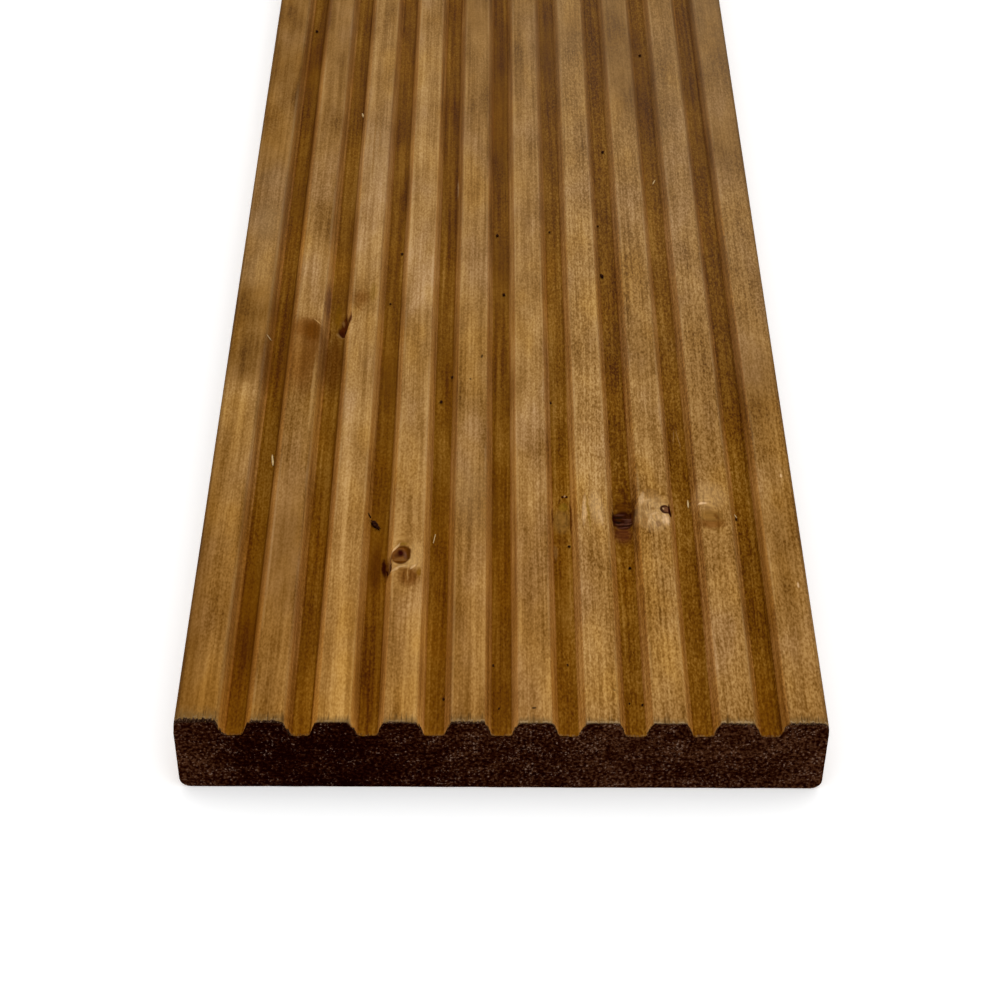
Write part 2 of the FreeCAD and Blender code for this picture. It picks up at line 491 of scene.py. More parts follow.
hole_marks = (
    # The dark stain on two ridges and in the groove between, ending in a slanted edge with a pale lip.
    (-52.2, 133.0, 5.4, 15.5, 0, 0.45, smear_brown, 0.62),
    (-52.4, 145.6, 3.9, 4.0, -12, 0.45, smear_brown, 0.70),
    (-50.4, 143.6, 2.3, 5.0, 8, 0.50, stain_brown, 0.88),
    (-50.8, 134.0, 2.0, 8.0, 0, 0.60, stain_brown, 0.45),
    (-49.5, 147.9, 1.6, 0.20, -49, 0.40, pale_rim, 0.85),
    (-48.6, 153.2, 0.30, 3.4, 0, 0.45, pale_rim, 0.60),
    (-44.6, 134.0, 3.0, 13.0, 0, 0.50, rust_brown, 0.72),
    (-62.7, 135.0, 0.90, 14.0, 0, 0.50, stain_brown, 0.38),
    (-48.9, 117.0, 0.45, 14.0, 0, 0.50, pale_rim, 0.55),
    (-38.3, 158.6, 2.0, 3.4, 0, 0.65, smear_brown, 0.62),
    (-38.7, 140.5, 0.30, 4.5, -7, 0.60, curl_brown, 0.60),
    (-37.6, 136.0, 0.35, 6.0, 5, 0.60, curl_brown, 0.55),
    (-38.4, 154.1, 1.7, 0.25, -57, 0.50, smear_brown, 0.55),
    (-39.1, 148.0, 1.4, 0.22, 38, 0.50, smear_brown, 0.40),
    (-35.0, 161.5, 1.0, 4.5, 0, 0.40, olive_gold, 0.35),
    (-36.0, 129.0, 0.6, 1.2, 0, 0.60, curl_brown, 0.70),
    (-47.4, 160.5, 0.6, 7.5, 0, 0.50, dull_pink, 0.65),
    (-46.3, 147.0, 0.20, 2.3, 0, 0.40, rust_brown, 0.80),
    # The bark hole in the groove's wall, with a painted highlight inside it.
    (-44.4, 155.4, 0.9, 5.5, 0, 0.40, olive_brown, 0.95),
    (-43.0, 147.5, 1.3, 1.4, 0, 0.30, pale_rim, 0.45),
    (-42.2, 149.4, 1.9, 2.8, 0, 0.20, hole_brown, 0.96),
    (-42.5, 152.4, 0.8, 1.8, 0, 0.30, hole_brown, 0.90),
    (-43.0, 148.6, 0.90, 1.6, 0, 0.60, knot_heart, 0.60),
    (-41.7, 148.6, 0.40, 2.0, 12, 0.40, bark_black, 0.85),
    # A painted highlight inside the hole.
    (-42.8, 152.6, 0.30, 0.9, 14, 0.60, curl_brown, 0.70),
    (-40.65, 150.8, 0.28, 1.8, 0, 0.40, hole_brown, 0.85),
)
fleck_marks = (
    # Flecks on the ridges, dark and pale.
    (7.2, 4.8, 0.4, 0.35, 0, 0.40, bark_black, 0.80),
    (25.3, 10.4, 0.3, 0.3, 0, 0.40, bark_black, 0.60),
    (-5.0, 132.8, 0.25, 0.7, -10, 0.40, bark_black, 0.80),
    (-8.0, 123.0, 0.35, 0.4, 0, 0.40, bark_black, 0.70),
    (69.9, 45.0, 0.25, 0.8, 0, 0.50, bare_wood, 0.80),
    (69.6, 84.5, 0.25, 0.6, 0, 0.50, bare_wood, 0.70),
    (20.9, 104.0, 0.16, 5.0, 0, 0.50, curl_brown, 0.85),
    (22.3, 103.0, 0.16, 6.0, 0, 0.50, curl_brown, 0.85),
    (-12.5, 218.0, 0.20, 4.0, 0, 0.50, pale_lip, 0.70),
    (-37.9, 236.0, 0.22, 18.0, 0, 0.50, curl_brown, 0.55),
    (-36.4, 242.0, 0.18, 14.0, 0, 0.50, curl_brown, 0.45),
    (45.4, 103.5, 0.16, 3.5, 6, 0.50, pale_rim, 0.45),
    (44.2, 104.5, 0.14, 2.5, -5, 0.50, pale_rim, 0.40),
)
mark_groups = (eye_marks, whorl_marks, hole_marks, fleck_marks)

# A mark's middle height and half height, so that it runs down a groove's wall and fades below it.
mark_level = 19.0
mark_reach = 11.0

# Numbers of the finishes on the board's faces. Each group of marks has one, and the last is for the length
# beyond the picture, which starts where picture_stop says.
plain_finish = 0
end_finish = 1
first_marked_finish = 2
picture_stop = 400.0

# Splinters that lie in the grooves, as (x, d, length, width, lean in degrees).
splinters = (
    (-57.7, 94.0, 4.6, 0.55, 7),
    (-16.2, 65.0, 3.6, 0.25, -8),
    (46.3, 78.0, 3.0, 0.45, 0),
    (57.7, 73.6, 1.2, 0.30, 25),
    (-42.4, 258.5, 4.5, 0.40, 10),
    (45.4, 223.0, 2.6, 0.35, -20),
    (-62.3, 143.6, 1.4, 0.40, -50),
)

# Bits of black bark in the grooves, as (x, d, length, width, lean in degrees).
bark_bits = (
    (-30.7, 69.5, 3.4, 1.3, 30),
    (-32.2, 72.3, 0.9, 0.6, 0),
    (28.3, 174.7, 1.9, 1.0, 10),
    (30.7, 239.0, 1.2, 0.9, 0),
    (0.8, 165.6, 1.3, 0.9, 0),
    (-1.0, 194.5, 1.1, 0.8, 0),
    (-15.6, 118.0, 1.0, 0.8, 0),
    (44.7, 296.5, 1.2, 0.9, 0),
    (30.8, 54.5, 0.7, 0.7, 0),
    (16.5, 62.2, 0.7, 0.7, 0),
    (-13.0, 11.0, 0.8, 0.5, 0),
    (15.2, 22.0, 0.7, 0.5, 0),
    (28.8, 10.0, 0.6, 0.4, 0),
    (31.7, 9.4, 0.7, 0.5, 0),
    (-28.0, 185.0, 0.9, 0.7, 0),
    (-30.4, 161.2, 0.7, 0.6, 0),
    (-12.9, 128.4, 1.0, 0.6, 0),
    (13.0, 117.8, 0.9, 0.5, 0),
    (14.0, 196.4, 0.9, 0.6, 0),
    (28.0, 199.5, 0.9, 0.6, 0),
    (-59.8, 310.8, 1.2, 1.0, 0),
    (57.8, 72.4, 0.8, 0.6, 0),
    (-1.8, 21.7, 0.7, 0.5, 0),
    (-0.5, 8.2, 0.6, 0.4, 0),
)


def unit(vectors):
    """Vectors brought to a length of one."""
    return vectors / np.linalg.norm(vectors, axis=-1, keepdims=True)


def rounded_corner(before, corner, after, radius, steps):
    """Points of the arc that eases a corner: a circle of the radius touching both straight runs."""
    to_before = unit(before - corner)
    to_after = unit(after - corner)
    half_angle = math.acos(np.clip(to_before @ to_after, -1.0, 1.0)) / 2
    centre = corner + unit(to_before + to_after) * radius / math.sin(half_angle)
    setback = radius / math.tan(half_angle)
    start = corner + to_before * setback - centre
    end = corner + to_after * setback - centre
    turn = math.pi - 2 * half_angle
    share = np.linspace(0.0, 1.0, steps + 1)[:, None]
    return centre + (np.sin((1 - share) * turn) * start + np.sin(share * turn) * end) / math.sin(turn)


def eased_line(start, corners, end):
    """Chain of points through eased corners: arcs at the corners, evenly divided straight runs between.
    Each corner is (x, z, radius, steps round its arc, steps along the run after it)."""
    points = np.array([start] + [corner[:2] for corner in corners] + [end])
    chain = []
    run_steps = 0
    for index, (radius, arc_steps, next_steps) in enumerate(corner[2:] for corner in corners):
        arc = rounded_corner(*points[index:index + 3], radius, arc_steps)
        if chain:
            share = np.linspace(0.0, 1.0, run_steps + 1)[1:-1, None]
            chain.append(chain[-1][-1] * (1 - share) + arc[0] * share)
        chain.append(arc)
        run_steps = next_steps
    return np.concatenate(chain)


def groove_middles():
    """Distance of each groove's middle line from the board's middle line."""
    return (np.arange(groove_count) - (groove_count - 1) / 2) * groove_pitch


def grooved_face_chain():
    """Outline of the grooved face from the left edge to the right, with both top arrises."""
    arris = (board_thickness, top_arris_radius, arris_steps, land_steps)
    corners = [(-half_width, *arris)]
    for middle in groove_middles():
        corners += [
            (middle - groove_mouth / 2, board_thickness, shoulder_radius, shoulder_steps, wall_steps),
            (middle - groove_floor / 2, groove_floor_z, foot_radius, foot_steps, floor_steps),
            (middle + groove_floor / 2, groove_floor_z, foot_radius, foot_steps, wall_steps),
            (middle + groove_mouth / 2, board_thickness, shoulder_radius, shoulder_steps, land_steps),
        ]
    corners.append((half_width, *arris))
    return eased_line((-half_width, 0.0), corners, (half_width, 0.0))


def underside_chain():
    """Outline of the flat face from the left edge to the right, with both lower arrises."""
    arris = (0.0, under_arris_radius, arris_steps, underside_steps)
    corners = [(-half_width, *arris), (half_width, *arris)]
    return eased_line((-half_width, board_thickness), corners, (half_width, board_thickness))


def station_distances():
    """Distances of the stations from the near end: evenly spaced within each run."""
    runs = []
    for start, stop, spacing in station_runs:
        steps = round((stop - start) / spacing)
        runs.append(np.linspace(start, stop, steps, endpoint=False))
    return np.concatenate(runs + [[board_length / mm]])


def end_face_rows(upper, lower):
    """Rows of points over an end: upright lines from the underside, left out, to the grooved face."""
    foot = np.stack([upper[:, 0], np.interp(upper[:, 0], lower[:, 0], lower[:, 1])], axis=1)
    share = np.linspace(0.0, 1.0, side_steps + 1)[1:, None, None]
    return foot * (1 - share) + upper * share


def eased(share):
    """A share from 0 to 1 that starts and stops gently."""
    return share * share * (3 - 2 * share)


def smooth_noise(across, along, seed):
    """Random surface from 0 to 1: one random number at each whole place, eased between its neighbours."""
    size = 64
    table = np.random.default_rng(seed).random((size, size))
    column = np.floor(across).astype(int)
    row = np.floor(along).astype(int)
    right_share = eased(across - column)
    far_share = eased(along - row)
    near, far = [
        table[line % size, column % size] * (1 - right_share)
        + table[line % size, (column + 1) % size] * right_share
        for line in (row, row + 1)
    ]
    return near * (1 - far_share) + far * far_share


def even_rise(value, none, full):
    """Share that rises evenly from 0 at one value to 1 at the other."""
    return np.clip((value - none) / (full - none), 0.0, 1.0)


def bell(distance, width):
    """Soft hump: 1 at no distance, fading with the square of the distance over the width."""
    return np.exp(-(distance / width) ** 2)


def oval_reach(x, d, middle_x, middle_d, half_x, half_d):
    """Distance from an oval's middle, counted so that its edge is at 1."""
    return np.sqrt(((x - middle_x) / half_x) ** 2 + ((d - middle_d) / half_d) ** 2)


def soft_ovals(x, d, ovals):
    """Sum of ovals, each (x, d, half width, half length, strength) and faded by the cube of its reach."""
    total = 0.0
    for *oval, strength in ovals:
        total = total + strength * np.exp(-oval_reach(x, d, *oval) ** 3)
    return total


def grain_places(x, d, z):
    """Where each point sits in straight grain: lines are pushed aside by the knots and wander slowly."""
    wide_wander = smooth_noise(0.012 * x + 7.3, 0.004 * d, 11) - 0.5
    close_wander = smooth_noise(0.04 * x, 0.02 * d + 3.1, 12) - 0.5
    shift = 2.4 * wide_wander + 0.8 * close_wander
    lengthwise = 3.0
    for knot_x, knot_d, radius in pictured_knots + further_knots:
        aside = x - knot_x
        away = (d - knot_d) / lengthwise
        shift = shift - aside * radius ** 2 / (aside ** 2 + away ** 2 + 0.6 * radius ** 2)
    return np.stack([x + shift, d, z], axis=-1)


def nearest_ridge(x):
    """Number of the ridge at each point, counted from the left and held to the middle of each groove."""
    number = np.floor(x * mm / groove_pitch + (groove_count + 1) / 2)
    return np.clip(number, 0, groove_count).astype(int)


def across_groove(x):
    """Number of the nearest groove, from the left, and how far right of its middle line each point is."""
    number = np.round(x * mm / groove_pitch + (groove_count - 1) / 2)
    groove = np.clip(number, 0, groove_count - 1).astype(int)
    return groove, x - groove_middles()[groove] / mm


def ridge_and_groove_tones(x, floor_share):
    """Tone of each ridge, held from groove to groove, then each groove floor's own tone and its walls'
    painted light and shade with their own tone.
    """
    groove, from_middle = across_groove(x)
    on_ridge = np.array(ridge_tones)[nearest_ridge(x)]
    on_floor = np.array(groove_tones)[groove]
    # Painted light and shade: one wall of a groove lighter, the other darker, as the light falls across it.
    on_wall = np.array(wall_light_and_tones)[groove, (from_middle > 0).astype(int)]
    wall_share = bell(np.abs(from_middle) - upper_wall, wall_spread)
    return on_ridge * (1 - floor_share) + on_floor * floor_share + on_wall * wall_share


def torn_and_shaded_reach(x, beside_groove):
    """Reach of the dark torn edge at the ends: each ridge's own, one for each side's walls, partly painted
    shade in the corner there, and none on a groove's floor."""
    from_middle = across_groove(x)[1]
    # On the walls the dark edge is partly painted shade at the end's corner, reaching further on the left
    # walls.
    on_wall = np.where(from_middle < 0, *torn_walls_and_shade) * bell(beside_groove - wall_middle, wall_spread)
    on_top = np.where(beside_groove > ridge_start, np.array(torn_ridges)[nearest_ridge(x)], 0.0)
    return on_top + on_wall


def stain_and_wall_light_tones(x, d, floor_share):
    """Lightness of the treatment: each ridge's own tone, the walls' painted light and shade, the stained
    stretches and a darker far length.
    """
    tone = ridge_and_groove_tones(x, floor_share) + soft_ovals(x, d, stained_stretches)
    far_share = even_rise(d, 190.0, 340.0)
    return tone - 0.14 * far_share * (1 - 0.6 * floor_share)


def weathering_and_sheen(x, d):
    """Greying of the grooved face: partly a painted sheen, the pale veil of light glancing off the far
    length, that grows along the board and towards the right, and partly grey patches of the wood's own.
    """
    across = 0.55 + 0.45 * x / (half_width / mm)
    patchy = 0.7 + 0.6 * smooth_noise(0.06 * x, 0.012 * d, 21)
    return even_rise(d, 90.0, 290.0) * across * patchy + soft_ovals(x, d, greyed_patches)


def carved_depth(x, d):
    """Depth of the grooved face's relief: a faint ripple, hollows, sunk rings round knots and, at the ends,
    a chipped and worn edge that fades away from them."""
    depth = 0.05 * smooth_noise(0.17 * x + 5.0, 0.03 * d, 31) + soft_ovals(x, d, hollows)
    for *oval, deepest in sunk_rings:
        depth = depth + deepest * bell(oval_reach(x, d, *oval) - 1, 0.22)
    chips = np.clip(smooth_noise(1.3 * x, 0.02 * d + 0.5, 32) - 0.45, 0.0, 1.0)
    from_end = np.minimum(d, board_length / mm - d)
    return depth + (0.05 + 0.7 * chips) * np.exp(-from_end / 0.5)


def sawn_recess(x, z):
    """Depth of the torn end grain behind the saw's plane, in two sizes of lump."""
    return 0.12 * smooth_noise(0.8 * x, 0.8 * z, 33) + 0.09 * smooth_noise(2.1 * x, 2.1 * z, 34)


def inward_normals(outline):
    """Directions into the wood at each point of the closed outline, square to the line past it."""
    along = unit(np.roll(outline, -1, axis=0) - np.roll(outline, 1, axis=0))
    return np.stack([-along[:, 1], along[:, 0]], axis=1)


def make_mesh(name, vertices, faces):
    """Mesh object from an array of points and arrays of three- and four-sided faces."""
    mesh = bpy.data.meshes.new(name)
    corners = np.concatenate([np.ravel(block) for block in faces]).astype(np.int32)
    sizes = np.concatenate([np.full(len(block), block.shape[1]) for block in faces])
    starts = np.concatenate([[0], np.cumsum(sizes)[:-1]]).astype(np.int32)
    mesh.vertices.add(len(vertices))
    mesh.vertices.foreach_set("co", np.ravel(vertices).astype(np.float32))
    mesh.loops.add(len(corners))
    mesh.loops.foreach_set("vertex_index", corners)
    mesh.polygons.add(len(sizes))
    mesh.polygons.foreach_set("loop_start", starts)
    mesh.polygons.foreach_set("use_smooth", np.ones(len(sizes), bool))
    mesh.update(calc_edges=True)
    mesh.validate()
    piece = bpy.data.objects.new(name, mesh)
    bpy.context.scene.collection.objects.link(piece)
    return piece


def add_values(mesh, name, values):
    """Stores a number or a vector for each point of a mesh, for its finish to read."""
    kind, field = ("FLOAT", "value") if values.ndim == 1 else ("FLOAT_VECTOR", "vector")
    layer = mesh.attributes.new(name, kind, "POINT")
    layer.data.foreach_set(field, np.ravel(values).astype(np.float32))


def end_faces(grid, underside, row_x, underside_x):
    """Faces of one end, seen from outside with X to the right: a grid down to its lowest row of points,
    then triangles that join that fine row to the underside's few points, each to its nearest across."""
    quads = np.stack([grid[:-1, :-1], grid[:-1, 1:], grid[1:, 1:], grid[1:, :-1]], axis=-1).reshape(-1, 4)
    row = grid[0]
    between = (underside_x[1:] + underside_x[:-1]) / 2
    nearest = np.searchsorted(between, (row_x[1:] + row_x[:-1]) / 2)
    from_row = np.stack([row[1:], row[:-1], underside[nearest]], axis=-1)
    meeting = np.searchsorted(nearest, np.arange(1, len(underside)))
    from_underside = np.stack([underside[:-1], underside[1:], row[meeting]], axis=-1)
    return quads, np.concatenate([from_row, from_underside])


def in_block(block, across, up):
    """Places in a block of the flat map, from shares of its width and height."""
    left, right, low, high = block
    across, up = np.broadcast_arrays(across, up)
    return np.stack([left + (right - left) * across, low + (high - low) * up], axis=-1)


def flat_layout(outline, distances, top_start, top_stop, faces, points):
    """Place of every face corner on the flat map. Long faces lie by the length of the outline up to the
    corner and by its distance from the near end, and the faces of an end lie as they are seen."""
    ring = np.roll(outline, -top_start, axis=0)
    steps = np.linalg.norm(np.roll(ring, -1, axis=0) - ring, axis=1)
    passed = np.concatenate([[0.0], np.cumsum(steps)])
    top_faces = top_stop - top_start - 1
    top_length = passed[top_faces]
    is_top = np.roll(np.arange(len(ring)) < top_faces, top_start)
    passed = np.roll(passed[np.arange(len(ring))[:, None] + (0, 0, 1, 1)], top_start, axis=0)
    along = distances[np.arange(len(distances) - 1)[:, None] + (0, 1, 1, 0)][:, None]
    is_pictured = distances[:-1] < pictured_length
    whole = board_length / mm
    top_share = passed / top_length
    further_share = (along - pictured_length) / (whole - pictured_length)
    places = in_block(further_block, top_share, further_share)
    places[is_pictured] = in_block(pictured_block, top_share, along[is_pictured] / pictured_length)
    plain_share = (passed[~is_top] - top_length) / (steps.sum() - top_length)
    places[:, ~is_top] = in_block(plain_block, along / whole, plain_share)
    places = [places.reshape(-1, 2)]
    for block, end in zip(end_blocks, (faces[1:3], faces[3:5])):
        corners = np.concatenate([np.ravel(part) for part in end])
        across = points[corners, 0] / board_width + 0.5
        places.append(in_block(block, across, points[corners, 2] / board_thickness))
    return np.concatenate(places)


def long_face_finishes(x, distances, is_grooved):
    """Number of each long face's finish: plain wood, a group's own under its marks, or the last beyond the
    picture. A face is under a mark when its middle is inside the mark's outermost reach and a margin."""
    middle_x = (x + np.roll(x, -1)) / 2
    middle_d = ((distances[1:] + distances[:-1]) / 2)[:, None]
    margin = 2.5
    numbers = np.full((len(distances) - 1, len(x)), plain_finish, np.int32)
    for number, group in enumerate(mark_groups):
        for mark_x, mark_d, half_x, half_d, lean, softness in (mark[:6] for mark in group):
            turned = math.sin(math.radians(abs(lean)))
            reach_x = (1 + softness) * (half_x + half_d * turned) + margin
            reach_d = (1 + softness) * (half_d + half_x * turned) + margin
            under = (np.abs(middle_x - mark_x) < reach_x) & (np.abs(middle_d - mark_d) < reach_d)
            numbers[under & is_grooved] = first_marked_finish + number
    numbers[middle_d[:, 0] > picture_stop] = first_marked_finish + len(mark_groups)
    return numbers


def long_points(outline, distances, is_grooved):
    """Points of the long faces: the outline at every station, sunk by the relief and rough at both ends."""
    x, z = outline.T / mm
    depth = carved_depth(x, distances[:, None]) * is_grooved * mm
    inward = inward_normals(outline)
    points = np.empty((len(distances), len(outline), 3))
    points[..., 0] = outline[:, 0] + depth * inward[:, 0]
    points[..., 1] = near_end_y + distances[:, None] * mm
    points[..., 2] = outline[:, 1] + depth * inward[:, 1]
    recess = sawn_recess(x, z) * mm
    points[0, :, 1] += recess
    points[-1, :, 1] -= recess
    return points


def end_points(flat, end_y, inward):
    """Points over an end: flat places as (x, z), each set back into the wood by the torn grain."""
    x, z = flat[..., 0], flat[..., 1]
    y = end_y + inward * sawn_recess(x / mm, z / mm) * mm
    return np.stack([x, y, z], axis=-1).reshape(-1, 3)


def sharpen_rims(mesh, around, stations):
    """Marks the edges round both ends as sharp: those whose two points are on the first or last station."""
    edge_points = np.empty(len(mesh.edges) * 2, np.int32)
    mesh.edges.foreach_get("vertices", edge_points)
    station = edge_points.reshape(-1, 2) // around
    on_rim = (station == 0).all(axis=1) | (station == stations - 1).all(axis=1)
    mesh.attributes.new("sharp_edge", "BOOLEAN", "EDGE").data.foreach_set("value", on_rim)


def store_wood_values(mesh, points, grooved):
    """Stores what the treated wood's finish reads at each point: its place in the grain and beside a
    groove, its tone with the walls' painted light and shade, the torn edge's reach with the painted shade
    at the ends of the walls, and its greying with the painted sheen."""
    x, d, z = (points - (0.0, near_end_y, 0.0)).T / mm
    groove, from_middle = across_groove(x)
    from_stain = np.abs(from_middle - np.array(groove_shifts)[groove])
    beside_groove = np.where(grooved, from_stain, groove_pitch / mm / 2)
    floor_share = even_rise(beside_groove, wall_middle, foot_place)
    add_values(mesh, "grain", grain_places(x, d, z))
    add_values(mesh, "beside_groove", beside_groove)
    # The tone holds the walls' painted light and shade as well as the stain.
    add_values(mesh, "stain_and_wall_light", stain_and_wall_light_tones(x, d, floor_share) * grooved)
    add_values(mesh, "torn_and_shaded_reach", torn_and_shaded_reach(x, beside_groove) * grooved)
    # Greying, partly a painted sheen along the length.
    add_values(mesh, "weathering_and_sheen", weathering_and_sheen(x, d) * grooved * (1 - 0.45 * floor_share))


def decking_board():
    """The plank: its eased outline carried along the stations, closed by a grid of points at each end."""
    upper = grooved_face_chain()
    lower = underside_chain()
    rows = end_face_rows(upper, lower)
    outline = np.concatenate([lower, rows[:-1, -1], upper[::-1], rows[-2::-1, 0]])
    distances = station_distances()
    stations = len(distances)
    around = len(outline)
    top_start = len(lower) + side_steps - 1
    top_stop = top_start + len(upper)
    is_grooved = np.zeros(around, bool)
    is_grooved[top_start:top_stop] = True

    index = np.arange(stations * around).reshape(stations, around)
    beside = np.roll(index, -1, axis=1)
    long_faces = np.stack([index[:-1], index[1:], beside[1:], beside[:-1]], axis=-1).reshape(-1, 4)
    points = [long_points(outline, distances, is_grooved).reshape(-1, 3)]
    faces = [long_faces]
    inner = rows[:-1, 1:-1]
    inner_index = index.size + np.arange(2 * inner[..., 0].size).reshape(2, *inner.shape[:2])
    # The far end is the near one turned to face the other way, so its faces run round backwards.
    for end, (station, inward) in enumerate(((0, 1), (-1, -1))):
        ring = index[station]
        grid = np.empty(rows.shape[:2], int)
        grid[:-1, 1:-1] = inner_index[end]
        grid[:-1, -1] = ring[len(lower):top_start]
        grid[:-1, 0] = ring[:top_stop - 1:-1]
        grid[-1] = ring[top_start:top_stop][::-1]
        blocks = end_faces(grid, ring[:len(lower)], rows[0, :, 0], lower[:, 0])
        points.append(end_points(inner, near_end_y + distances[station] * mm, inward))
        faces += [block[:, ::inward] for block in blocks]

    points = np.concatenate(points)
    board = make_mesh("decking_board_planed", points, faces)
    mesh = board.data
    finish_of_face = np.full(len(mesh.polygons), end_finish, np.int32)
    finish_of_face[:len(long_faces)] = long_face_finishes(outline[:, 0] / mm, distances, is_grooved).ravel()
    mesh.polygons.foreach_set("material_index", finish_of_face)
    places = flat_layout(outline, distances, top_start, top_stop, faces, points)
    mesh.uv_layers.new(name=flat_map_name).uv.foreach_set("vector", np.ravel(places).astype(np.float32))
    sharpen_rims(mesh, around, stations)
    grooved = np.zeros(len(points), bool)
    grooved[:index.size] = np.tile(is_grooved, stations)
    store_wood_values(mesh, points, grooved)
    return board


def spindle(rings, sides):
    """A ball with its poles on Y: points by their angle from the pole and round it, and its faces."""
    polar = np.linspace(0.0, math.pi, rings + 2)[1:-1, None]
    turn = np.arange(sides) * 2 * math.pi / sides
    ring = np.stack([
        np.sin(polar) * np.cos(turn),
        np.cos(polar) + 0 * turn,
        np.sin(polar) * np.sin(turn),
    ], axis=-1).reshape(-1, 3)
    points = np.concatenate([[(0.0, 1.0, 0.0)], ring, [(0.0, -1.0, 0.0)]])
    inside = 1 + np.arange(rings * sides).reshape(rings, sides)
    beside = np.roll(inside, -1, axis=1)
    quads = np.stack([inside[:-1], beside[:-1], beside[1:], inside[1:]], axis=-1).reshape(-1, 4)
    first_tip = np.stack([np.zeros(sides, int), beside[0], inside[0]], axis=-1)
    last_tip = np.stack([inside[-1], beside[-1], np.full(sides, len(points) - 1)], axis=-1)
    return points, quads, np.concatenate([first_tip, last_tip])


def lying_bits(name, table, thickness, lumpiness, seed):
    """Small bits that lie on the grooved face: each a ball drawn out to its length and width, made lumpy by
    random numbers, turned by its lean and let down onto the section."""
    body, quads, triangles = spindle(rings=6, sides=8)
    x, d, length, width, lean = np.array(table, float).T[..., None]
    lumps = 1 + lumpiness * (np.random.default_rng(seed).random((len(x), len(body), 1)) - 0.5)
    half = np.stack([width, length, thickness * width], axis=-1) / 2
    aside, forward, up = np.moveaxis(body * lumps * half, -1, 0)
    angle = np.radians(lean)
    place_x = (x + np.cos(angle) * aside - np.sin(angle) * forward) * mm
    place_y = near_end_y + (d + np.sin(angle) * aside + np.cos(angle) * forward) * mm
    section = grooved_face_chain()
    lift = up + half[..., 2] * (1 + lumpiness / 2)
    place_z = np.interp(place_x, section[:, 0], section[:, 1]) + lift * mm
    first = (np.arange(len(x)) * len(body))[:, None, None]
    faces = [(first + block).reshape(-1, block.shape[1]) for block in (quads, triangles)]
    return make_mesh(name, np.stack([place_x, place_y, place_z], axis=-1).reshape(-1, 3), faces)


def torn_fibres():
    """Fibres that the saw left along the grooved edge of the near end: three-sided spikes with their roots
    in the worn edge, each tip thrown forward, up and a little aside by random numbers, inside the board."""
    count = 420
    chance = np.random.default_rng(41)
    section = grooved_face_chain()
    x = (chance.random(count) - 0.5) * (board_width - 3 * mm)
    z = np.interp(x, section[:, 0], section[:, 1])
    root = np.stack([x, near_end_y + (0.25 + 0.5 * chance.random(count)) * mm, z - 0.25 * mm], axis=-1)
    throw = np.stack([
        0.7 * (chance.random(count) - 0.5),
        -0.3 - 0.6 * chance.random(count),
        0.2 + 0.4 * chance.random(count),
    ], axis=-1) * mm
    tip = root + throw
    tip[:, 1] = np.maximum(tip[:, 1], near_end_y)
    tip[:, 2] = np.minimum(tip[:, 2], board_thickness)
    axis = unit(tip - root)
    aside = unit(np.cross(axis, (0.0, 0.0, 1.0)))
    upward = np.cross(axis, aside)
    thick = (0.05 + 0.07 * chance.random((count, 1))) * mm
    turn = np.arange(3) * 2 * math.pi / 3
    base = [root + thick * (math.cos(angle) * aside + math.sin(angle) * upward) for angle in turn]
    vertices = np.stack(base + [tip], axis=1).reshape(-1, 3)
    vertices[:, 2] = np.minimum(vertices[:, 2], board_thickness)
    pattern = np.array([(0, 1, 3), (1, 2, 3), (2, 0, 3), (0, 2, 1)])
    faces = (np.arange(count)[:, None, None] * 4 + pattern).reshape(-1, 3)
    fibres = make_mesh("torn_fibres", vertices, [faces])
    add_values(fibres.data, "shade", np.repeat(chance.random(count), 4))
    return fibres


